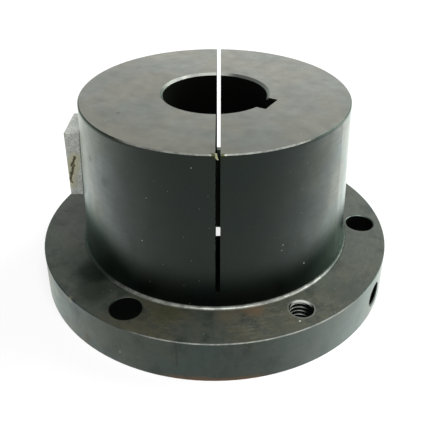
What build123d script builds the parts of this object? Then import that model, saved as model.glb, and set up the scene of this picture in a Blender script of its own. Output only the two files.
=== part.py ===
from build123d import *
from math import cos, radians, sin, sqrt
import os

# Flanged split taper bush with an external barrel key, for clamping a sheave or sprocket hub to a shaft.
# Millimetres. +Z runs up the bore towards the small end, z = 0 is the outer face of the flange.
# +X runs through the bore keyway and the set screw hole in the flange rim.

os.makedirs("parts", exist_ok=True)

# flange
flange_thickness = 16.0
flange_face_chamfer = 0.2
flange_back_chamfer = 0.3

# tapered barrel: the taper is the loss of diameter for each millimetre of length
barrel_length = 57.1
small_end_diameter = 98.1
taper = 0.0625
small_end_chamfer = 0.4
barrel_root_fillet = 1.2

# bore and its keyway for a square shaft key
bore_diameter = 38.1
bore_chamfer = 0.9
keyway_width = 9.53
keyway_depth = 4.5

# screws: plain holes for the pull-up screws, tapped holes for the push-off screws
# the flange is as wide as its screws need: clear of the barrel inside, with a wall to the rim outside
screw_centre_to_barrel = 7.8
screw_centre_to_rim = 8.55
screw_hole_diameter = 11.0
screw_hole_count = 3
screw_hole_angle = 30.0
screw_hole_chamfer = 0.3
push_off_thread_diameter = 9.53
push_off_angles = (90.0, 330.0)

# radial set screw over the keyway
set_screw_thread_diameter = 9.53
set_screw_height = 7.5

# the two saw cuts that let the barrel close on the shaft lie in one plane beside the axis
saw_cut_width = 1.6
saw_cut_angle = 120.0
saw_cut_offset = 1.3
saw_cut_land = 6.9

# external key, let into a flat-bottomed seat in the barrel
key_angle = 210.0
key_width = 17.5
key_thickness = 8.2
key_length = 26.0
key_height = 34.5
key_stand_out = 4.9
key_edge_radius = 0.8

bore_radius = bore_diameter / 2
overall_length = flange_thickness + barrel_length
small_end_radius = small_end_diameter / 2
large_end_radius = small_end_radius + barrel_length * taper / 2
screw_circle_radius = large_end_radius + screw_centre_to_barrel
flange_radius = screw_circle_radius + screw_centre_to_rim

# distance from the axis to the keyway floor, which is measured from where the keyway breaks into the bore
keyway_floor = sqrt(bore_radius**2 - (keyway_width / 2) ** 2) + keyway_depth

# the key stands out from the barrel surface halfway up the key
key_middle = key_height + key_length / 2
barrel_radius_at_key = small_end_radius + (overall_length - key_middle) * taper / 2
key_outer = barrel_radius_at_key + key_stand_out
key_seat = key_outer - key_thickness

key_direction = Vector(cos(radians(key_angle)), sin(radians(key_angle)), 0)
key_plane = Plane(origin=(0, 0, key_height), x_dir=key_direction, z_dir=(0, 0, 1))
rim_plane = Plane(origin=(flange_radius, 0, set_screw_height), x_dir=(0, 1, 0), z_dir=(1, 0, 0))

with BuildPart() as bush_body:
    # flange and barrel turned in one profile around the bore
    with BuildSketch(Plane.XZ):
        with BuildLine():
            Polyline(
                (bore_radius, 0),
                (flange_radius, 0),
                (flange_radius, flange_thickness),
                (large_end_radius, flange_thickness),
                (small_end_radius, overall_length),
                (bore_radius, overall_length),
                close=True,
            )
        make_face()
    revolve(axis=Axis.Z)

    circles = bush_body.edges().filter_by(GeomType.CIRCLE)
    bottom_circles = circles.group_by(Axis.Z)[0].sort_by(SortBy.RADIUS)
    top_circles = circles.group_by(Axis.Z)[-1].sort_by(SortBy.RADIUS)
    shoulder_circles = circles.group_by(Axis.Z)[1].sort_by(SortBy.RADIUS)
    fillet(shoulder_circles[0], barrel_root_fillet)
    chamfer(shoulder_circles[-1], flange_back_chamfer)
    chamfer([bottom_circles[0], top_circles[0]], bore_chamfer)
    chamfer(bottom_circles[-1], flange_face_chamfer)
    chamfer(top_circles[-1], small_end_chamfer)

    # plain screw holes right through the flange
    with Locations(Plane.XY.offset(flange_thickness)):
        with PolarLocations(screw_circle_radius, screw_hole_count, start_angle=screw_hole_angle):
            Hole(screw_hole_diameter / 2, depth=flange_thickness)
    screw_hole_edges = bush_body.edges(Select.LAST).filter_by(GeomType.CIRCLE)
    chamfer(screw_hole_edges, screw_hole_chamfer)

    # tapped push-off holes on the same circle, cut to the thread's outer diameter
    with Locations(Plane.XY.offset(flange_thickness)):
        for angle in push_off_angles:
            with PolarLocations(screw_circle_radius, 1, start_angle=angle):
                Hole(push_off_thread_diameter / 2, depth=flange_thickness)

    # keyway along the whole bore
    with BuildSketch(Plane.XY):
        Rectangle(keyway_floor, keyway_width, align=(Align.MIN, Align.CENTER))
    extrude(amount=overall_length, mode=Mode.SUBTRACT)

    # set screw hole from the rim into the keyway
    with Locations(rim_plane):
        Hole(set_screw_thread_diameter / 2, depth=flange_radius)

    # seat of the external key
    with BuildSketch(key_plane):
        with Locations((key_seat, 0)):
            Rectangle(key_thickness, key_width, align=(Align.MIN, Align.CENTER))
    extrude(amount=key_length, mode=Mode.SUBTRACT)

    # saw cuts through both walls, from the small end down to the land above the flange
    with BuildSketch(Plane.XY.offset(flange_thickness + saw_cut_land)):
        with PolarLocations(saw_cut_offset, 1, start_angle=saw_cut_angle - 90):
            Rectangle(saw_cut_width, 2 * flange_radius)
    extrude(amount=barrel_length, mode=Mode.SUBTRACT)

with BuildPart() as barrel_key:
    with BuildSketch(key_plane):
        with Locations((key_seat, 0)):
            Rectangle(key_thickness, key_width, align=(Align.MIN, Align.CENTER))
    extrude(amount=key_length)
    key_outer_face = barrel_key.faces().sort_by(Axis(origin=(0, 0, 0), direction=key_direction))[-1]
    fillet(key_outer_face.edges(), key_edge_radius)

bush_body.part.label = "bush_body"
export_step(bush_body.part, "parts/bush_body.step")

barrel_key.part.label = "barrel_key"
export_step(barrel_key.part, "parts/barrel_key.step")
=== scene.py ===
from math import cos, pi, radians, sin
from types import SimpleNamespace

import bmesh
import bpy
from mathutils import Matrix, Vector, noise


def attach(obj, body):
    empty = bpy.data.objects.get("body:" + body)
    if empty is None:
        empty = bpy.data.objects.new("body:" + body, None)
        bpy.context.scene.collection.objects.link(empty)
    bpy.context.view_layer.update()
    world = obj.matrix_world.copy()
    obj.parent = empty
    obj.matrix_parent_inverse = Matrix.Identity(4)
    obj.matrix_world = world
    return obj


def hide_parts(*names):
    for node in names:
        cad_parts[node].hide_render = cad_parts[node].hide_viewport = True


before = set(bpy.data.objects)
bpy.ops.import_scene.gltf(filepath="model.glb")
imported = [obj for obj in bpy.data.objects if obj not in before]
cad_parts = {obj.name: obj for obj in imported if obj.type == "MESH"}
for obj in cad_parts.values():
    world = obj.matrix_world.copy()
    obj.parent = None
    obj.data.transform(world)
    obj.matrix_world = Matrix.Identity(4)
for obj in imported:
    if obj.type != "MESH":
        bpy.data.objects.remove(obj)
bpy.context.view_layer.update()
millimetre = 0.001
print("frame loaded:", sorted(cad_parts))


# the camera stands in front of the front saw cut and looks down on the bush
cameraValues = {
    "place": (0.10687, -0.18092, 0.15859),
    "turn": 29.896,   # degrees round the vertical
    "tilt": 27.773,   # degrees down from level
    "roll": 0.221,
    "lens": 52.0,
    "sensor": 36.0,
    "shift": (-0.01505, -0.1444),
    "nearest": 0.01,
}


def addCamera(values):
    camera = bpy.data.objects.new("photoCamera", bpy.data.cameras.new("photoCamera"))
    camera.data.lens = values["lens"]
    camera.data.sensor_width = values["sensor"]
    camera.data.shift_x, camera.data.shift_y = values["shift"]
    camera.data.clip_start = values["nearest"]
    turned = Matrix.Rotation(radians(values["turn"]), 4, "Z")
    tilted = Matrix.Rotation(radians(90 - values["tilt"]), 4, "X")
    rolled = Matrix.Rotation(radians(values["roll"]), 4, "Z")
    camera.matrix_world = Matrix.Translation(values["place"]) @ turned @ tilted @ rolled
    bpy.context.scene.collection.objects.link(camera)
    bpy.context.scene.camera = camera


addCamera(cameraValues)
print("camera placed")


class Wire:
    # a socket that can stand in sums with numbers and other sockets

    def __init__(self, tree, socket=None):
        self.tree = tree
        self.socket = socket

    def node(self, kind, settings=None, inputs=None, output=0):
        made = self.tree.nodes.new(kind)
        for name, value in (settings or {}).items():
            setattr(made, name, value)
        for name, value in (inputs or {}).items():
            if isinstance(value, Wire):
                self.tree.links.new(value.socket, made.inputs[name])
            else:
                made.inputs[name].default_value = value
        return Wire(self.tree, made.outputs[output] if made.outputs else None)

    def asSurface(self, kind="ShaderNodeOutputMaterial"):
        # the last node of a material or of the world
        self.node(kind, None, {"Surface": self})

    def math(self, operation, *values):
        return self.node("ShaderNodeMath", {"operation": operation}, dict(enumerate(values)))

    def __add__(self, other):
        return self.math("ADD", self, other)

    def __radd__(self, other):
        return self.math("ADD", other, self)

    def __sub__(self, other):
        return self.math("SUBTRACT", self, other)

    def __rsub__(self, other):
        return self.math("SUBTRACT", other, self)

    def __mul__(self, other):
        return self.math("MULTIPLY", self, other)

    def __rmul__(self, other):
        return self.math("MULTIPLY", other, self)

    def __truediv__(self, other):
        return self.math("DIVIDE", self, other)

    def __pow__(self, other):
        return self.math("POWER", self, other)

    def atMost(self, other):
        return self.math("MINIMUM", self, other)

    def atLeast(self, other):
        return self.math("MAXIMUM", self, other)

    def absolute(self):
        return self.math("ABSOLUTE", self)

    def fade(self, low, high, start=0.0, end=1.0):
        # smooth step from start to end while the value goes from low to high
        settings = {"interpolation_type": "SMOOTHSTEP"}
        return self.node("ShaderNodeMapRange", settings, {0: self, 1: low, 2: high, 3: start, 4: end})

    def above(self, level, soft):
        # 1 from the level up, 0 a soft margin below it
        return self.fade(level - soft, level)

    def below(self, level, soft):
        # 1 up to the level, 0 a soft margin above it
        return self.fade(level + soft, level)

    def blend(self, colourA, colourB):
        # colourA where this mask is 0, colourB where it is 1
        inputs = {0: self, 6: wide(colourA), 7: wide(colourB)}
        return self.node("ShaderNodeMix", {"data_type": "RGBA"}, inputs, 2)

    def stretch(self, scale):
        return self.node("ShaderNodeVectorMath", {"operation": "MULTIPLY"}, {0: self, 1: scale})

    def distance(self, point):
        return self.node("ShaderNodeVectorMath", {"operation": "DISTANCE"}, {0: self, 1: point}, "Value")

    def noise(self, scale, detail, roughness):
        inputs = {"Vector": self, "Scale": scale, "Detail": detail, "Roughness": roughness}
        return self.node("ShaderNodeTexNoise", None, inputs)

    def attribute(self, name):
        return self.node("ShaderNodeAttribute", {"attribute_name": name}, None, "Fac")


def wide(colour):
    return (*colour, 1.0) if isinstance(colour, tuple) else colour


def newMaterial(name):
    material = bpy.data.materials.new(name)
    material.use_nodes = True
    material.node_tree.nodes.clear()
    return material, Wire(material.node_tree)


def inMillimetres(wires):
    place = wires.node("ShaderNodeTexCoord", output="Object")
    return place.stretch((1 / millimetre,) * 3)


def split(vector):
    return [vector.node("ShaderNodeSeparateXYZ", None, {0: vector}, axis) for axis in "XYZ"]


def towards(x, y, degrees):
    # how far a point lies in a direction round the bore
    return x * cos(radians(degrees)) + y * sin(radians(degrees))


def onCircle(radius, degrees, height):
    return (radius * cos(radians(degrees)), radius * sin(radians(degrees)), height)


def bumped(relief, values):
    inputs = {"Strength": values["bumpStrength"], "Distance": values["bumpDepth"], "Height": relief}
    return relief.node("ShaderNodeBump", None, inputs)


# white surroundings for the eye and for reflections, plain soft light on the bush
studioValues = {
    "surroundings": 1.0,       # what the camera and reflections see
    "fill": 0.15,              # what lights the surfaces from all round
    "floorColour": (0.30, 0.30, 0.30),
    "floorGlow": 0.78,
    "floorSize": 8.0,
    "lamps": [
        # name, place, aims at, width, height, watts
        ("overhead", (0.36, -0.38, 1.10), (0.0, 0.0, 0.03), 0.60, 0.30, 8.0),
        ("sideLight", (0.62, 0.85, 0.80), (0.0, 0.0, 0.03), 1.00, 0.80, 22.0),
    ],
}


def seenDirectly(wires):
    seen = wires.node("ShaderNodeLightPath", output="Is Camera Ray")
    path = seen.socket.node
    glossy = Wire(wires.tree, path.outputs["Is Glossy Ray"])
    through = Wire(wires.tree, path.outputs["Is Transmission Ray"])
    return seen.atLeast(glossy).atLeast(through)


def lightWorld(values):
    world = bpy.data.worlds.new("studio")
    bpy.context.scene.world = world
    world.use_nodes = True
    world.node_tree.nodes.clear()
    wires = Wire(world.node_tree)
    strength = seenDirectly(wires).fade(0.0, 1.0, values["fill"], values["surroundings"])
    glow = wires.node("ShaderNodeBackground", None, {"Color": wide((1, 1, 1)), "Strength": strength})
    glow.asSurface("ShaderNodeOutputWorld")


def hangLamps(values):
    for name, place, target, width, height, watts in values["lamps"]:
        lamp = bpy.data.lights.new(name, "AREA")
        lamp.shape = "RECTANGLE"
        lamp.size, lamp.size_y, lamp.energy = width, height, watts
        holder = bpy.data.objects.new(name, lamp)
        aim = (Vector(target) - Vector(place)).to_track_quat("-Z", "Y")
        holder.matrix_world = Matrix.Translation(place) @ aim.to_matrix().to_4x4()
        bpy.context.scene.collection.objects.link(holder)


def layFloor(values):
    material, wires = newMaterial("floorWhite")
    paint = wires.node("ShaderNodeBsdfDiffuse", None, {"Color": wide(values["floorColour"])})
    glowing = wires.node("ShaderNodeEmission", None, {"Strength": seenDirectly(wires) * values["floorGlow"]})
    wires.node("ShaderNodeAddShader", None, {0: paint, 1: glowing}).asSurface()
    grid = bmesh.new()
    bmesh.ops.create_grid(grid, x_segments=1, y_segments=1, size=values["floorSize"] / 2)
    mesh = bpy.data.meshes.new("floor")
    grid.to_mesh(mesh)
    grid.free()
    mesh.materials.append(material)
    floor = bpy.data.objects.new("floor", mesh)
    bpy.context.scene.collection.objects.link(floor)


lightWorld(studioValues)
hangLamps(studioValues)
layFloor(studioValues)
print("studio lit")


# the bush body keeps its own mesh and gets black oxide: places and sizes are in millimetres, and
# directions are degrees round the bore from the keyway
bodyValues = {
    "flangeTop": 16.0,
    "smallEnd": 73.1,
    "rim": 67.18,
    "bore": 19.05,
    "keywayCorner": 24.1,
    "smallEndRadius": 48.66,     # inside its chamfer
    "filletRadius": 52.0,        # round the foot of the barrel
    "filletHeight": 1.2,
    "boreChamfer": 0.9,
    "sawCut": (30.0, 1.3, 0.8, 22.85),  # direction it is offset to, offset, half its width, foot
    "screwCircle": 58.634,       # radius
    "plainHoles": (30.0, 150.0, 270.0),  # directions
    "plainHoleRadius": 5.8,
    "slotMouth": (25.6, -41.7, 73.0),
    "right": 30.0,               # direction of the right-hand side, seen from the front saw cut
    "paintedHighlight": -50.0,               # direction of the front, where the painted highlights on the edges are strongest
    "brightLip": 130.0,          # direction of the painted highlight on the bore's chamfer

    # noise patterns: waves to the millimetre, detail, roughness
    "blotch": (0.055, 3.0, 0.55),
    "cloud": (0.16, 4.0, 0.6),
    "fine": (1.3, 3.0, 0.6),
    "mottle": (0.45, 4.0, 0.7),
    "patches": (0.35, 3.0, 0.6),
    "bands": (0.12, 4.0, 0.6),
    "brushed": (0.5, 3.0, 0.65),
    "turned": (1.0, 3.0, 0.65),
    # how much closer the waves lie along x, y and z
    "cloudStretch": (1.0, 1.0, 0.6),
    "bandsStretch": (0.5, 0.5, 1.6),
    "brushedStretch": (0.4, 0.4, 2.4),
    "turnedStretch": (7.0, 2.2),  # turning marks: how often they break off, how close they lie

    # oxide
    "barrelColour": (0.0055, 0.0085, 0.0074),
    "barrelDust": (0.0140, 0.0185, 0.0155),
    "flangeTopColour": (0.044, 0.048, 0.038),
    "flangeSideColour": (0.038, 0.055, 0.048),
    # painted light on the right of the flange's rim
    "flangeRightLitColour": (0.165, 0.200, 0.185),
    "smallEndColour": (0.036, 0.041, 0.032),
    "mottleColour": (0.022, 0.030, 0.026),
    "mottleStrength": 0.55,
    "barrelOlive": (0.0085, 0.0100, 0.0068),
    "topOlive": ((0.040, 0.047, 0.034), (0.058, 0.052, 0.032)),  # away from the front, and towards it
    "endOlive": (0.050, 0.049, 0.032),
    "sideOlive": (0.052, 0.058, 0.044),
    "insideShadeColour": (0.0060, 0.0065, 0.0055),
    "oliveStrength": 0.8,
    "cloudStrength": (0.6, 0.25),       # on the whole bush, on the small end
    "rightLightStrength": 0.7,
    "barrelRoughness": 0.36,
    "flangeRoughness": 0.45,
    "endRoughness": 0.42,
    "roughnessSpread": (0.14, 0.08),    # with the clouds, with the blotches
    "roughnessAdded": (0.3, 0.3),       # inside the holes and cuts, on dust
    "bumpStrength": 0.10,
    "bumpDepth": 0.00005,               # metres
    "turnedRelief": 0.8,

    # sheen: how strongly and how late it rises towards glancing view, and its tints
    "glossRise": 0.84,
    "glossPower": 3.2,
    "glossLoss": (0.4, 0.2, 0.08),      # on the flange, more on its top, on the small end
    "shadedLeftShare": 0.80,                  # painted shade: share of the sheen kept on the left
    "sheenTint": (0.82, 1.00, 0.90),
    "sheenLevel": 0.25,
    "barrelPolish": ((0.80, 0.93, 0.87), (0.86, 0.93, 0.82)),
    "facePolish": ((0.91, 0.945, 0.88), (0.95, 0.94, 0.86)),

    # painted highlights on the edges and the foot of the barrel, as bright metal: least and most round each
    # edge
    "edgeHighlight": {"foot": (0.0, 0.62), "endEdge": (0.25, 0.80), "rim": (0.0, 1.0), "boreEdge": (0.25, 0.95)},
    "highlightColour": (0.33, 0.34, 0.31),
    "highlightMetal": 0.16,
    # turning marks: strength, colour; scuffs: place, none from here, full from here, strength, colour
    "scratches": (0.35, (0.14, 0.14, 0.12)),
    "scuffed": ((44.1, -39.5, 16.0), 15.0, 4.0, 0.24, (0.17, 0.17, 0.14)),

    # painted shade that takes the sheen away at the foot of the barrel: full below, none above, strength,
    # higher on both sides, on the left
    "shadeAndGrime": (18.0, 33.0, 0.90, 9.0, 5.0),
    # painted shade on the fillet, the edges and round the plain holes, which hides the lamps' highlights
    # there
    "edgeShade": {"fillet": 0.92, "rim": 0.95, "endEdge": 0.85, "boreEdge": 0.9, "holes": 0.85},
    "shadeUnderEdge": (0.80, 0.45),          # painted shade just below the small end's edge, on the left and the right
    # soft marks and painted shadows: place, reach, strength, how much sheen they take away, colour
    "marks": [
        # the next three are painted shadow of the barrel on the front left of the flange's face
        ((-21.5, -48.5, 16.0), 11.5, 0.95, 0.85, (0.005, 0.006, 0.005)),
        ((-31.0, -46.0, 16.0), 12.0, 0.45, 0.35, (0.012, 0.016, 0.011)),
        ((-15.5, -57.0, 16.0), 9.0, 0.75, 0.55, (0.011, 0.014, 0.010)),
        # stains and spots
        ((36.5, -37.5, 16.0), 6.0, 0.75, 0.0, (0.095, 0.062, 0.036)),
        ((31.0, -43.5, 16.0), 7.0, 0.45, 0.0, (0.085, 0.068, 0.046)),
        ((13.4, -54.1, 16.0), 6.0, 0.55, 0.1, (0.040, 0.044, 0.016)),
        ((60.0, -14.0, 16.0), 9.0, 0.45, 0.3, (0.020, 0.023, 0.019)),
        ((-11.4, -66.2, 3.9), 2.2, 0.85, 0.3, (0.055, 0.034, 0.008)),
        ((-13.0, -65.9, 1.5), 1.8, 0.70, 0.3, (0.060, 0.042, 0.012)),
        ((-31.1, -59.5, 10.5), 3.2, 0.50, 0.0, (0.300, 0.300, 0.170)),
        ((-19.7, -64.2, 15.0), 1.8, 0.50, 0.0, (0.260, 0.260, 0.150)),
        ((-18.4, -32.8, 73.1), 1.1, 0.70, 0.5, (0.008, 0.009, 0.007)),
        ((-22.7, -43.9, 59.9), 1.8, 0.60, 0.6, (0.004, 0.005, 0.005)),
        ((-14.3, -47.5, 54.9), 2.6, 0.45, 0.5, (0.004, 0.005, 0.005)),
        ((24.2, -42.5, 72.9), 1.6, 0.90, 0.8, (0.022, 0.024, 0.007)),
        ((27.2, -41.2, 72.9), 1.6, 0.90, 0.8, (0.026, 0.028, 0.008)),
    ],
    "markRaggedness": 0.7,
    "streak": (-70.0, 0.7, 4.5, 15.5, 0.75),      # direction, half its width, from, to, strength
    "rust": (-60.0, 2.4, 2.2, (0.165, 0.080, 0.030)),  # direction, height, its spread, colour

    # dust: scatters of tiny specks, as cells to the millimetre, share of cells with one, strength
    "dustColour": (0.42, 0.45, 0.40),
    "scatters": [(0.16, 0.42, 0.90), (0.42, 0.36, 0.36)],
    "scatterSize": (0.20, 0.10),   # radius at which such a speck ends, and at which it is full
    # single bright specks: place, radius
    "specks": [
        ((17.7, 38.0, 73.1), 0.42), ((31.5, 29.1, 73.1), 0.34), ((30.5, 18.7, 73.1), 0.24),
        ((41.1, -16.5, 73.1), 0.24), ((42.0, -27.5, 37.6), 0.32), ((41.7, -27.8, 35.6), 0.24),
        ((46.6, -19.4, 26.7), 0.36), ((1.9, -50.1, 38.9), 0.32), ((52.7, -35.0, 16.0), 0.42),
        ((18.6, -45.5, 68.5), 0.26), ((4.1, -49.4, 55.5), 0.22), ((3.2, -67.1, 5.2), 0.50),
    ],
}


def bushZones(place, values):
    # where a point lies on the bush, as masks
    zone = SimpleNamespace()
    zone.x, zone.y, zone.z = x, y, z = split(place)
    zone.radius = radius = (x * x + y * y) ** 0.5
    top, end, rim = values["flangeTop"], values["smallEnd"], values["rim"]
    zone.flange = z.below(top + 0.05, 0.10)
    zone.flangeTop = z.above(top - 0.05, 0.10) * zone.flange
    zone.side = zone.flange * (1 - zone.flangeTop) * z.above(0.12, 0.10)
    zone.end = z.above(end - 0.05, 0.10)
    zone.faces = zone.flangeTop.atLeast(zone.end)

    # painted shade inside the saw cuts, the bore with its keyway and the holes
    turn, offset, half, foot = values["sawCut"]
    fromCut = (towards(x, y, turn) - offset).absolute()
    zone.sawn = fromCut.below(half - 0.03, 0.06) * z.above(foot, 0.05) * z.below(end - 0.6, 0.2)
    bored = radius.below(values["keywayCorner"], 0.2) * z.below(end - values["boreChamfer"] - 0.05, 0.1)
    drilled = radius.below(rim - 0.6, 0.1) * z.below(top - 0.35, 0.15) * z.above(0.35, 0.15)
    zone.inside = zone.sawn.atLeast(bored).atLeast(drilled)

    # the small chamfers and the fillet
    zone.onRim = radius.above(rim - 0.27, 0.06) * z.above(top - 0.28, 0.06)
    zone.onEndEdge = radius.above(values["smallEndRadius"], 0.06) * z.above(end - 0.38, 0.04)
    boreLip = radius.below(values["bore"] + values["boreChamfer"], 0.1)
    zone.onBoreEdge = boreLip * z.above(end - values["boreChamfer"] + 0.05, 0.05)
    lowDown = z.above(top, 0.1) * z.below(top + 0.6, 0.4)
    zone.onFoot = radius.below(values["filletRadius"] - 0.4, 0.5) * lowDown
    zone.inFillet = radius.below(values["filletRadius"], 0.3) * z.below(top + values["filletHeight"], 0.4)

    zone.toRight = towards(x, y, values["right"]) / radius
    zone.toWear = towards(x, y, values["paintedHighlight"]) / radius
    zone.toBright = towards(x, y, values["brightLip"]) / radius
    zone.underEdge = z.above(end - 0.7, 0.8) * (1 - zone.end) * zone.toRight.absolute().fade(0.40, 0.65)
    return zone


def bushPatterns(place, zone, values):
    pattern = SimpleNamespace()
    pattern.blotch = place.noise(*values["blotch"])
    pattern.cloud = place.stretch(values["cloudStretch"]).noise(*values["cloud"])
    pattern.fine = place.noise(*values["fine"])
    pattern.olive = pattern.blotch.fade(0.42, 0.60)
    around, across = values["turnedStretch"]
    rings = {0: zone.x / zone.radius * around, 1: zone.y / zone.radius * around, 2: zone.radius * across}
    pattern.turned = place.node("ShaderNodeCombineXYZ", None, rings).noise(*values["turned"])
    return pattern


def paintedEdgeHighlights(place, zone, values):
    # painted highlights on the edges and the foot of the barrel, broken up here and there
    edgeHighlight = values["edgeHighlight"]
    foot = zone.onFoot * zone.toWear.fade(0.50, 0.90, *edgeHighlight["foot"]) * zone.toRight.fade(0.96, 0.62)
    endEdge = zone.onEndEdge * zone.toWear.fade(0.25, 0.80, *edgeHighlight["endEdge"])
    endEdge = endEdge * zone.toRight.absolute().fade(0.66, 0.48)
    rimEdge = zone.onRim * zone.toWear.fade(0.80, 0.93, *edgeHighlight["rim"])
    boreEdge = zone.onBoreEdge * zone.toBright.fade(0.82, 0.94, *edgeHighlight["boreEdge"])
    patches = place.noise(*values["patches"]).fade(0.30, 0.62, 0.5, 1.0)
    besideSlot = place.distance(values["slotMouth"]).fade(1.6, 2.6)
    paintedHighlight = (foot.atLeast(endEdge).atLeast(rimEdge) * patches).atLeast(boreEdge)
    return paintedHighlight * (1 - zone.sawn) * besideSlot


def oxideColour(place, zone, pattern, values):
    # blotches of olive and blue grey, soft clouds, and turning marks on the flange
    cloud = pattern.cloud
    dusty = pattern.fine.fade(0.45, 0.75) * cloud.fade(0.35, 0.65)
    colour = dusty.blend(values["barrelColour"], values["barrelDust"])
    colour = zone.flange.blend(colour, values["flangeSideColour"])
    colour = zone.flangeTop.blend(colour, values["flangeTopColour"])
    colour = zone.end.blend(colour, values["smallEndColour"])
    brown = zone.end.blend(zone.toWear.fade(0.45, 0.9).blend(*values["topOlive"]), values["endOlive"])
    olive = zone.side.blend(zone.faces.blend(values["barrelOlive"], brown), values["sideOlive"])
    colour = (values["oliveStrength"] * pattern.olive).blend(colour, olive)
    mottled = place.noise(*values["mottle"]).fade(0.40, 0.64, 0.0, values["mottleStrength"]) * zone.flange
    colour = mottled.blend(colour, values["mottleColour"])
    overall, onEnd = values["cloudStrength"]
    clouded = (overall + (onEnd - overall) * zone.end) * cloud.fade(0.50, 0.70)
    colour = clouded.blend(colour, values["barrelColour"])
    # painted light: the flange's rim paler towards the right, where the light falls
    paintedLight = values["rightLightStrength"] * zone.side * zone.toRight.fade(0.1, 0.75)
    colour = paintedLight.blend(colour, values["flangeRightLitColour"])

    strength, tint = values["scratches"]
    scratches = pattern.turned.fade(0.58, 0.70) * zone.flangeTop * pattern.blotch.fade(0.40, 0.55, 0.3, 1.0)
    colour = (strength * scratches).blend(colour, tint)
    centre, outer, inner, strength, tint = values["scuffed"]
    scuffed = place.distance(centre).fade(outer, inner) * pattern.turned.fade(0.44, 0.58) * zone.flangeTop
    return (strength * scuffed * pattern.fine.fade(0.35, 0.6)).blend(colour, tint)


def paintedShadeOnBush(place, zone, values):
    # painted shade at the foot of the barrel, in the corners, on the edges and round the plain holes, where
    # the sheen and the lamps' highlights are taken away
    full, none, strength, upBoth, upLeft = values["shadeAndGrime"]
    upTheSides = upBoth * zone.toRight.absolute().fade(0.45, 0.9) + upLeft * zone.toRight.fade(-0.5, -0.9)
    shadeAndGrime = strength * (zone.z - upTheSides).fade(none, full) * (1 - zone.flange)
    edgeShade = values["edgeShade"]
    fillet = zone.inFillet * zone.toWear.fade(0.90, 0.50).atLeast(zone.toRight.fade(0.62, 0.96))
    rimEdge = zone.onRim * zone.toWear.fade(0.93, 0.80)
    endEdge = zone.onEndEdge * zone.toWear.fade(0.85, 0.40).atLeast(zone.toRight.fade(0.48, 0.66))
    boreEdge = zone.onBoreEdge * zone.toRight.fade(-0.45, -0.70)
    shadeAndGrime = shadeAndGrime.atLeast(edgeShade["fillet"] * fillet).atLeast(edgeShade["rim"] * rimEdge)
    shadeAndGrime = shadeAndGrime.atLeast(edgeShade["endEdge"] * endEdge).atLeast(edgeShade["boreEdge"] * boreEdge)
    shadeAndGrime = shadeAndGrime.atLeast(zone.underEdge * zone.toRight.fade(-0.4, 0.4, *values["shadeUnderEdge"]))
    edge = values["plainHoleRadius"]
    for direction in values["plainHoles"]:
        centre = onCircle(values["screwCircle"], direction, values["flangeTop"] - 0.1)
        shadeAndGrime = shadeAndGrime.atLeast(place.distance(centre).fade(edge + 0.1, edge, 0.0, edgeShade["holes"]))
    return shadeAndGrime


def addMarksAndShadows(place, zone, pattern, values, colour, shadeAndGrime):
    # stains, spots and painted shadows
    for centre, reach, strength, dulls, tint in values["marks"]:
        ragged = values["markRaggedness"] * reach * (pattern.cloud - 0.5)
        mark = (place.distance(centre) + ragged).fade(reach, reach * 0.3, 0.0, strength)
        if centre[2] <= values["flangeTop"]:
            mark = mark * zone.flange
        colour = mark.blend(colour, tint)
        if dulls:
            shadeAndGrime = shadeAndGrime.atLeast(mark * dulls)

    turn, half, low, high, strength = values["streak"]
    fromStreak = towards(zone.x, zone.y, turn + 90).absolute()
    streak = fromStreak.fade(half, 0.0) * zone.z.fade(low, low + 1.5) * zone.z.fade(high, high - 1.5)
    streak = strength * streak * zone.side * zone.toWear.fade(0.0, 0.2)
    colour = streak.blend(colour, values["barrelColour"])

    turn, height, spread, tint = values["rust"]
    along = (towards(zone.x, zone.y, turn) / zone.radius).fade(0.955, 0.99)
    rust = (zone.z + spread * (pattern.cloud - 0.5)).fade(height, 0.2) * along * zone.side
    return (rust * pattern.fine.fade(0.3, 0.55, 0.4, 1.0)).blend(colour, tint), shadeAndGrime


def dustSpecks(place, zone, values):
    dust = 0.0
    outer, inner = values["scatterSize"]
    for scale, share, strength in values["scatters"]:
        cells = {"Vector": place, "Scale": scale, "Randomness": 1.0}
        spread = place.node("ShaderNodeTexVoronoi", None, cells, "Distance")
        pick = split(place.node("ShaderNodeTexVoronoi", None, cells, "Color"))[0]
        speck = spread.fade(outer * scale, inner * scale) * pick.fade(1 - share, 1.02 - share)
        dust = dust + speck * strength
    for centre, size in values["specks"]:
        dust = dust.atLeast(place.distance(centre).fade(size, size * 0.5))
    return dust.atMost(1.0) * (1 - zone.inside)


def oxideRoughness(zone, pattern, dust, values):
    barrel, flange, end = (values[name] for name in ("barrelRoughness", "flangeRoughness", "endRoughness"))
    withCloud, withBlotch = values["roughnessSpread"]
    onInside, onDust = values["roughnessAdded"]
    roughness = barrel + zone.flange * (flange - barrel) + zone.end * (end - barrel)
    roughness = roughness + withCloud * (pattern.cloud - 0.5) + withBlotch * (pattern.blotch - 0.5)
    return roughness + onInside * zone.inside + onDust * dust


def sheenShare(place, zone, pattern, paintedHighlight, shadeAndGrime, dust, values):
    # the polished look that oxide gets at glancing view
    facing = place.node("ShaderNodeLayerWeight", None, {"Blend": 0.5}, "Facing")
    share = (values["glossRise"] * facing ** values["glossPower"]).atMost(1.0)
    onFlange, onTop, onEnd = values["glossLoss"]
    share = share * (1 - onFlange * zone.flange - onTop * zone.flangeTop - onEnd * zone.end)
    share = share * (1 - paintedHighlight) * (1 - zone.inside) * (1 - dust) * (1 - shadeAndGrime)
    bands = place.stretch(values["bandsStretch"]).noise(*values["bands"])
    brushed = place.stretch(values["brushedStretch"]).noise(*values["brushed"])
    share = share * bands.fade(0.35, 0.65, 0.94, 1.06) * brushed.fade(0.3, 0.7, 0.92, 1.08)
    share = share * pattern.cloud.fade(0.3, 0.7, 1.12, 0.88)
    # painted shade: less sheen towards the left
    return share * zone.toRight.fade(-0.4, -1.0, 1.0, values["shadedLeftShare"])


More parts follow.
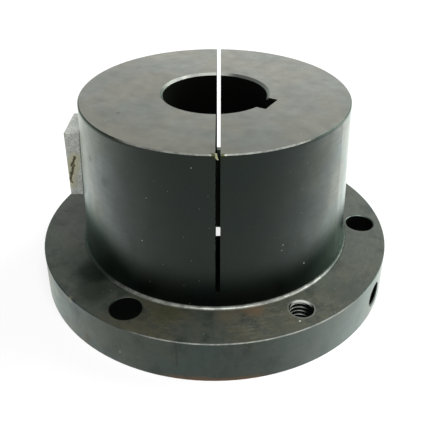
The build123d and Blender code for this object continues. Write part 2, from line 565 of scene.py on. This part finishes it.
def oxideSteel(values):
    material, wires = newMaterial("blackOxide")
    place = inMillimetres(wires)
    zone = bushZones(place, values)
    pattern = bushPatterns(place, zone, values)
    paintedHighlight = paintedEdgeHighlights(place, zone, values)
    dust = dustSpecks(place, zone, values)
    colour = oxideColour(place, zone, pattern, values)
    # painted shade at the foot, in the corners and on the edges; the marks add their dulling to it
    shadeAndGrime = paintedShadeOnBush(place, zone, values)
    colour, shadeAndGrime = addMarksAndShadows(place, zone, pattern, values, colour, shadeAndGrime)
    # painted highlights on the edges and the barrel's foot
    colour = paintedHighlight.blend(colour, values["highlightColour"])
    # painted shade inside the cuts, the bore and the holes
    colour = zone.inside.blend(colour, values["insideShadeColour"])
    colour = dust.blend(colour, values["dustColour"])
    roughness = oxideRoughness(zone, pattern, dust, values)
    bumpy = bumped(pattern.fine + values["turnedRelief"] * pattern.turned, values)
    surface = {
        "Base Color": colour,
        "Roughness": roughness,
        "Metallic": (paintedHighlight * values["highlightMetal"]).atLeast(zone.inside).atLeast(shadeAndGrime),
        "Normal": bumpy,
        "Specular IOR Level": values["sheenLevel"],
        "Specular Tint": wide(values["sheenTint"]),
    }
    oxide = wires.node("ShaderNodeBsdfPrincipled", None, surface)
    barrelPolish = pattern.olive.blend(*values["barrelPolish"])
    facePolish = pattern.blotch.fade(0.38, 0.62).blend(*values["facePolish"])
    polish = {
        "Base Color": zone.faces.blend(barrelPolish, facePolish),
        "Metallic": 1.0,
        "Roughness": roughness,
        "Normal": bumpy,
    }
    sheen = wires.node("ShaderNodeBsdfPrincipled", None, polish)
    share = sheenShare(place, zone, pattern, paintedHighlight, shadeAndGrime, dust, values)
    wires.node("ShaderNodeMixShader", None, {0: share, 1: oxide, 2: sheen}).asSurface()
    return material


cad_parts["bush_body"].material_slots[0].material = oxideSteel(bodyValues)
print("body finished")


def addPiece(name, shape, material, sharpAngle):
    # shape is a bmesh in millimetres, which becomes a piece in metres with its flat faces kept crisp
    bmesh.ops.remove_doubles(shape, verts=shape.verts, dist=0.001)
    bmesh.ops.recalc_face_normals(shape, faces=shape.faces)
    for face in shape.faces:
        face.smooth = True
    for edge in shape.edges:
        edge.smooth = len(edge.link_faces) == 2 and edge.calc_face_angle() < radians(sharpAngle)
    bmesh.ops.scale(shape, vec=(millimetre,) * 3, verts=shape.verts)
    mesh = bpy.data.meshes.new(name)
    shape.to_mesh(mesh)
    shape.free()
    mesh.materials.append(material)
    piece = bpy.data.objects.new(name, mesh)
    bpy.context.scene.collection.objects.link(piece)
    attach(piece, "root")
    return piece


def turnTo(shape, degrees):
    turn = Matrix.Rotation(radians(degrees), 3, "Z")
    bmesh.ops.rotate(shape, cent=(0, 0, 0), matrix=turn, verts=shape.verts)


def closedOutline(shape, points):
    corners = [shape.verts.new(point) for point in points]
    sides = [shape.edges.new(ends) for ends in zip(corners, corners[1:] + corners[:1])]
    return corners + sides


# one helical ridge in each tapped hole, its root let into the drilled wall
frontHole = onCircle(bodyValues["screwCircle"], -30.0, 0.0)
farHole = onCircle(bodyValues["screwCircle"], 90.0, 0.0)
threadValues = {
    "pitch": 1.5875,
    "wallRadius": 4.80,
    "crestRadius": 3.92,
    "rootWidth": 1.40,
    "crestWidth": 0.22,
    "stepsPerTurn": 40,
    "sharpAngle": 25,
    "ridges": [
        # name, foot of the hole, direction, from, to
        ("threadFront", frontHole, (0, 0, 1), 0.05, 15.22),
        ("threadFar", farHole, (0, 0, 1), 0.05, 15.22),
        ("threadSetScrew", (0.0, 0.0, 7.5), (1, 0, 0), 23.0, 66.75),
    ],
    # painted shade on the thread, painted highlights on its crests
    "shadeColour": (0.006, 0.007, 0.006),
    "crestHighlightColour": (0.34, 0.36, 0.32),
    "shadowTowards": (30.0, 29.3),  # direction of the side in painted shadow, and where it starts
    "shadeMetal": 1.0,
    "crestMetal": 0.3,
    "roughness": (0.35, 0.15),   # least, and how much the grain adds
    "grain": (1.4, 3.0, 0.6),
    "bumpStrength": 0.15,
    "bumpDepth": 0.00005,        # metres
}


def threadRidge(values, foot, direction, low, high):
    axis, foot = Vector(direction), Vector(foot)
    side = axis.orthogonal().normalized()
    pitch, steps = values["pitch"], values["stepsPerTurn"]
    start = low - pitch
    turns = int((high - low) / pitch) + 3
    outline = [
        (values["wallRadius"], -values["rootWidth"] / 2),
        (values["crestRadius"], -values["crestWidth"] / 2),
        (values["crestRadius"], values["crestWidth"] / 2),
        (values["wallRadius"], values["rootWidth"] / 2),
    ]
    shape = bmesh.new()
    ring = closedOutline(shape, [foot + side * out + axis * (start + along) for out, along in outline])
    bmesh.ops.spin(
        shape, geom=ring, cent=foot, axis=axis, dvec=axis * pitch / steps,
        angle=2 * pi * turns, steps=steps * turns, use_merge=False, use_duplicate=False,
    )
    for level, outwards in ((low, -1), (high, 1)):
        parts = shape.verts[:] + shape.edges[:] + shape.faces[:]
        cut = bmesh.ops.bisect_plane(
            shape, geom=parts, plane_co=foot + axis * level, plane_no=axis * outwards, clear_outer=True,
        )
        rim = [part for part in cut["geom_cut"] if isinstance(part, bmesh.types.BMEdge)]
        bmesh.ops.edgenet_fill(shape, edges=rim)

    # 1 on the crest and 0 at the wall, for the material
    crest = shape.verts.layers.float.new("crest")
    for vert in shape.verts:
        out = (vert.co - foot) - axis * (vert.co - foot).dot(axis)
        vert[crest] = (values["wallRadius"] - out.length) / (values["wallRadius"] - values["crestRadius"])
    return shape


# a chamfered lip at the top of each push-off hole, just under the flange's face
mouthValues = {
    "top": 15.995,
    "wallRadius": 4.77,
    "openRadius": 3.92,
    "depth": 0.8,
    "chamfer": 0.34,
    "steps": 64,
    "places": [("mouthFront", frontHole), ("mouthFar", farHole)],
    # painted highlight on the lip
    "lipHighlightColour": (0.88, 0.90, 0.84),
    "lipTowards": 112.0,         # direction of the lip's painted highlight
    # partly the flange top's own colour, partly painted sheen standing in for the flange top's gloss
    "faceColourAndSheen": (0.075, 0.082, 0.068),
}


def mouthRing(values, foot):
    wall, opening, depth = values["wallRadius"], values["openRadius"], values["depth"]
    outline = [(wall, -depth), (opening, -depth), (opening + values["chamfer"], 0), (wall, 0)]
    foot = Vector(foot)
    shape = bmesh.new()
    ring = closedOutline(shape, [foot + Vector((out, 0, values["top"] + up)) for out, up in outline])
    bmesh.ops.spin(
        shape, geom=ring, cent=foot, axis=(0, 0, 1), dvec=(0, 0, 0),
        angle=2 * pi, steps=values["steps"], use_merge=True, use_duplicate=False,
    )

    # 1 on the part of the lip with the painted highlight, for the material
    lip = shape.verts.layers.float.new("lip")
    for vert in shape.verts:
        out = (vert.co - foot).xy.normalized()
        vert[lip] = max(0.0, towards(out.x, out.y, values["lipTowards"]))
    return shape


def threadSteel(values, mouth):
    # painted highlights on the crests and the lip, painted shade between the crests and a painted shadow on
    # one side
    material, wires = newMaterial("threadSteel")
    place = inMillimetres(wires)
    x, y, z = split(place)
    direction, shadowStart = values["shadowTowards"]
    across = towards(x, y, direction) - shadowStart
    grain = place.noise(*values["grain"])
    crestHighlight = wires.attribute("crest").fade(0.82, 1.0) * across.fade(2.6, 0.4) * grain.fade(0.25, 0.5, 0.5, 1.0)
    lipHighlight = wires.attribute("lip").fade(0.35, 0.9)
    flat = z.above(mouth["top"] - 0.003, 0.007)
    colour = crestHighlight.blend(values["shadeColour"], values["crestHighlightColour"])
    colour = flat.blend(lipHighlight.blend(colour, mouth["lipHighlightColour"]), mouth["faceColourAndSheen"])
    least, more = values["roughness"]
    inputs = {
        "Base Color": colour,
        "Metallic": crestHighlight.fade(0.0, 0.6, values["shadeMetal"], values["crestMetal"]) * (1 - flat),
        "Roughness": least + more * grain,
        "Normal": bumped(grain, values),
    }
    wires.node("ShaderNodeBsdfPrincipled", None, inputs).asSurface()
    return material


cutSteel = threadSteel(threadValues, mouthValues)
for name, foot, direction, low, high in threadValues["ridges"]:
    ridge = threadRidge(threadValues, foot, direction, low, high)
    addPiece(name, ridge, cutSteel, threadValues["sharpAngle"])
for name, foot in mouthValues["places"]:
    addPiece(name, mouthRing(mouthValues, foot), cutSteel, threadValues["sharpAngle"])
print("threads cut")


# burr left hanging in the mouth of the front saw cut, in millimetres
burrValues = {
    "angle": 300.0,
    "radius": 48.35,            # distance from the axis
    "top": 73.05,
    "height": 1.8,
    "width": 0.95,
    "thickness": 0.5,
    "cuts": 9,
    "topOffset": 0.55,          # across the slot, from the axis
    "bottomOffset": 1.30,
    "curl": 1.7,                # how late it swings across
    "narrowing": 0.45,          # of its width, towards the bottom
    "leaning": 0.25,            # outwards, towards the bottom
    "ragged": (0.10, 2.3, 0.12, 1.9),  # across and outwards: depth, waves to the millimetre
    "sharpAngle": 50,
    "steel": ((0.28, 0.27, 0.10), (0.66, 0.67, 0.42)),
    "metal": 0.2,
    "roughness": (0.4, 0.2),    # least, and how much the grain adds
    "grain": (2.2, 3.0, 0.6),
}


def burrShape(values):
    shape = bmesh.new()
    bmesh.ops.create_cube(shape, size=1.0)
    bmesh.ops.scale(shape, vec=(values["thickness"], values["width"], values["height"]), verts=shape.verts)
    upright = [edge for edge in shape.edges if abs(edge.verts[0].co.z - edge.verts[1].co.z) > 0.1]
    bmesh.ops.subdivide_edges(shape, edges=upright, cuts=values["cuts"], use_grid_fill=True)
    swing = values["bottomOffset"] - values["topOffset"]
    acrossDepth, acrossWaves, outDepth, outWaves = values["ragged"]
    for vert in shape.verts:
        down = max(0.0, 0.5 - vert.co.z / values["height"])
        slide = values["topOffset"] + swing * down ** values["curl"]
        narrow = vert.co.y * (1 - values["narrowing"] * down)
        vert.co.y = narrow + slide + acrossDepth * noise.noise(vert.co * acrossWaves)
        lean = values["leaning"] * down + outDepth * noise.noise(vert.co * outWaves + Vector((5, 0, 0)))
        vert.co.x += values["radius"] + lean
        vert.co.z += values["top"] - values["height"] / 2
    turnTo(shape, values["angle"])
    return shape


def burrSteel(values):
    material, wires = newMaterial("burrSteel")
    grain = inMillimetres(wires).noise(*values["grain"])
    least, more = values["roughness"]
    inputs = {
        "Base Color": grain.fade(0.35, 0.6).blend(*values["steel"]),
        "Metallic": values["metal"],
        "Roughness": least + more * grain,
    }
    wires.node("ShaderNodeBsdfPrincipled", None, inputs).asSurface()
    return material


addPiece("slotBurr", burrShape(burrValues), burrSteel(burrValues), burrValues["sharpAngle"])
print("burr added")


# the barrel key is rough steel, with a gouge across the side that faces the front saw cut
keyValues = {
    "angle": 210.0,
    "seat": 46.55,              # distance of its back from the axis, millimetres
    "thickness": 8.2,
    "width": 17.5,
    "foot": 34.5,
    "length": 26.0,
    "outerRadius": 0.8,
    "outerSegments": 4,
    "grain": 0.22,              # size of the remeshed faces
    "roughDepth": 0.06,
    "roughWaves": ((1.1, 0.6), (2.7, 0.4)),  # waves to the millimetre, share
    "gougeDepth": 0.60,
    "gougeHalfWidth": 0.52,
    "gougeRagged": (0.9, 1.3),  # share of its width that varies, waves to the millimetre
    "gougeUneven": (0.75, 0.5, 3.1),  # share of its depth everywhere, share that varies, waves
    "stainReach": 3.0,
    # the gouge's paths on the side face: distance from the axis, height
    "gougePaths": [
        [(51.5, 50.3), (52.3, 48.6), (52.2, 46.8), (52.9, 45.0), (53.3, 43.2), (54.2, 41.0), (53.6, 39.6)],
        [(52.3, 48.4), (52.9, 47.2), (52.7, 46.0)],
        [(53.1, 44.4), (53.5, 42.6)],
    ],
    "sharpAngle": 60,
    "steel": ((0.60, 0.63, 0.57), (0.78, 0.81, 0.77)),
    "speckColour": (0.30, 0.31, 0.27),
    "speckStrength": 0.7,
    "stainColour": (0.60, 0.59, 0.42),
    "gougeColour": (0.130, 0.110, 0.055),
    "jointShadeColour": (0.03, 0.035, 0.03),
    "jointShadeStrength": 0.85,
    "barrel": (49.05, 73.1, 0.03125),  # radius at the small end, its height, growth for each millimetre
    "metal": 0.25,
    "roughness": (0.5, 0.25),   # least, and how much the grain adds
    "patches": (0.22, 3.0, 0.6),
    "fine": (1.6, 3.0, 0.6),
    "bumpStrength": 0.35,
    "bumpDepth": 0.0002,        # metres
}


def distanceToPath(point, path):
    best = 1e9
    for start, end in zip(path, path[1:]):
        run = Vector(end) - Vector(start)
        along = max(0.0, min(1.0, (point - Vector(start)).dot(run) / run.length_squared))
        best = min(best, (point - Vector(start) - run * along).length)
    return best


def keyShape(values):
    # made lying along +X, with its outer face furthest out, and turned to its place at the end
    shape = bmesh.new()
    bmesh.ops.create_cube(shape, size=1.0)
    size = (values["thickness"], values["width"], values["length"])
    bmesh.ops.scale(shape, vec=size, verts=shape.verts)
    middle = (values["seat"] + values["thickness"] / 2, 0, values["foot"] + values["length"] / 2)
    bmesh.ops.translate(shape, vec=middle, verts=shape.verts)
    outer = max(vert.co.x for vert in shape.verts) - 0.01
    outerEdges = [edge for edge in shape.edges if min(vert.co.x for vert in edge.verts) > outer]
    bmesh.ops.bevel(
        shape, geom=outerEdges, offset=values["outerRadius"], segments=values["outerSegments"],
        affect="EDGES", profile=0.5, material=-1, clamp_overlap=True,
    )
    return shape


def remeshed(shape, grain):
    draft = bpy.data.meshes.new("keyDraft")
    shape.to_mesh(draft)
    shape.free()
    holder = bpy.data.objects.new("keyDraft", draft)
    bpy.context.scene.collection.objects.link(holder)
    remesh = holder.modifiers.new("even faces", "REMESH")
    remesh.mode = "VOXEL"
    remesh.voxel_size = grain
    evaluated = holder.evaluated_get(bpy.context.evaluated_depsgraph_get())
    even = bmesh.new()
    even.from_mesh(evaluated.to_mesh())
    evaluated.to_mesh_clear()
    bpy.data.objects.remove(holder)
    bpy.data.meshes.remove(draft)
    return even


def roughenKey(shape, values):
    # the faces are only ever worn away, never built up
    shape.normal_update()
    gouge = shape.verts.layers.float.new("gouge")
    stain = shape.verts.layers.float.new("stain")
    widthShare, widthWaves = values["gougeRagged"]
    depthLeast, depthShare, depthWaves = values["gougeUneven"]
    for vert in shape.verts:
        inwards = -vert.normal
        grain = sum(noise.noise(vert.co * waves) * share for waves, share in values["roughWaves"])
        depth = values["roughDepth"] * (0.5 + 0.5 * grain)
        if vert.normal.y > 0.6 or vert.co.y > values["width"] / 2 - 0.6:
            ragged = 1 + widthShare * noise.noise(vert.co * widthWaves)
            point = Vector((vert.co.x, vert.co.z))
            distance = min(distanceToPath(point, path) for path in values["gougePaths"])
            near = max(0.0, 1 - (distance / (values["gougeHalfWidth"] * ragged)) ** 2)
            vert[gouge] = near
            vert[stain] = max(0.0, 1 - distance / values["stainReach"])
            uneven = depthLeast + depthShare * noise.noise(vert.co * depthWaves)
            depth += values["gougeDepth"] * near * uneven
            inwards = Vector((0, -1, 0)) if near > 0 else inwards
        vert.co += inwards * depth


def roughSteel(values):
    material, wires = newMaterial("roughSteel")
    place = inMillimetres(wires)
    x, y, z = split(place)
    inGouge = wires.attribute("gouge")
    patches = place.noise(*values["patches"])
    fine = place.noise(*values["fine"])
    colour = patches.fade(0.35, 0.65).blend(*values["steel"])
    colour = (values["speckStrength"] * fine.fade(0.45, 0.7)).blend(colour, values["speckColour"])
    stained = wires.attribute("stain").fade(0.0, 0.6) * patches.fade(0.3, 0.5, 0.6, 1.0)
    colour = stained.blend(colour, values["stainColour"])
    colour = (inGouge.fade(0.1, 0.5) * fine.fade(0.3, 0.5, 0.4, 1.0)).blend(colour, values["gougeColour"])

    # painted shade where the key meets the tapered barrel
    endRadius, endHeight, growth = values["barrel"]
    proud = (x * x + y * y) ** 0.5 - (endRadius + (endHeight - z) * growth)
    colour = proud.fade(0.55, 0.15, 0.0, values["jointShadeStrength"]).blend(colour, values["jointShadeColour"])
    least, more = values["roughness"]
    inputs = {
        "Base Color": colour,
        "Metallic": values["metal"] * (1 - inGouge),
        "Roughness": least + more * fine,
        "Normal": bumped(fine, values),
    }
    wires.node("ShaderNodeBsdfPrincipled", None, inputs).asSurface()
    return material


keyMesh = remeshed(keyShape(keyValues), keyValues["grain"])
roughenKey(keyMesh, keyValues)
turnTo(keyMesh, keyValues["angle"])
barrelKey = addPiece("barrelKey", keyMesh, roughSteel(keyValues), keyValues["sharpAngle"])
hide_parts("barrel_key")
print("key finished")

bpy.context.scene.view_settings.view_transform = "Standard"
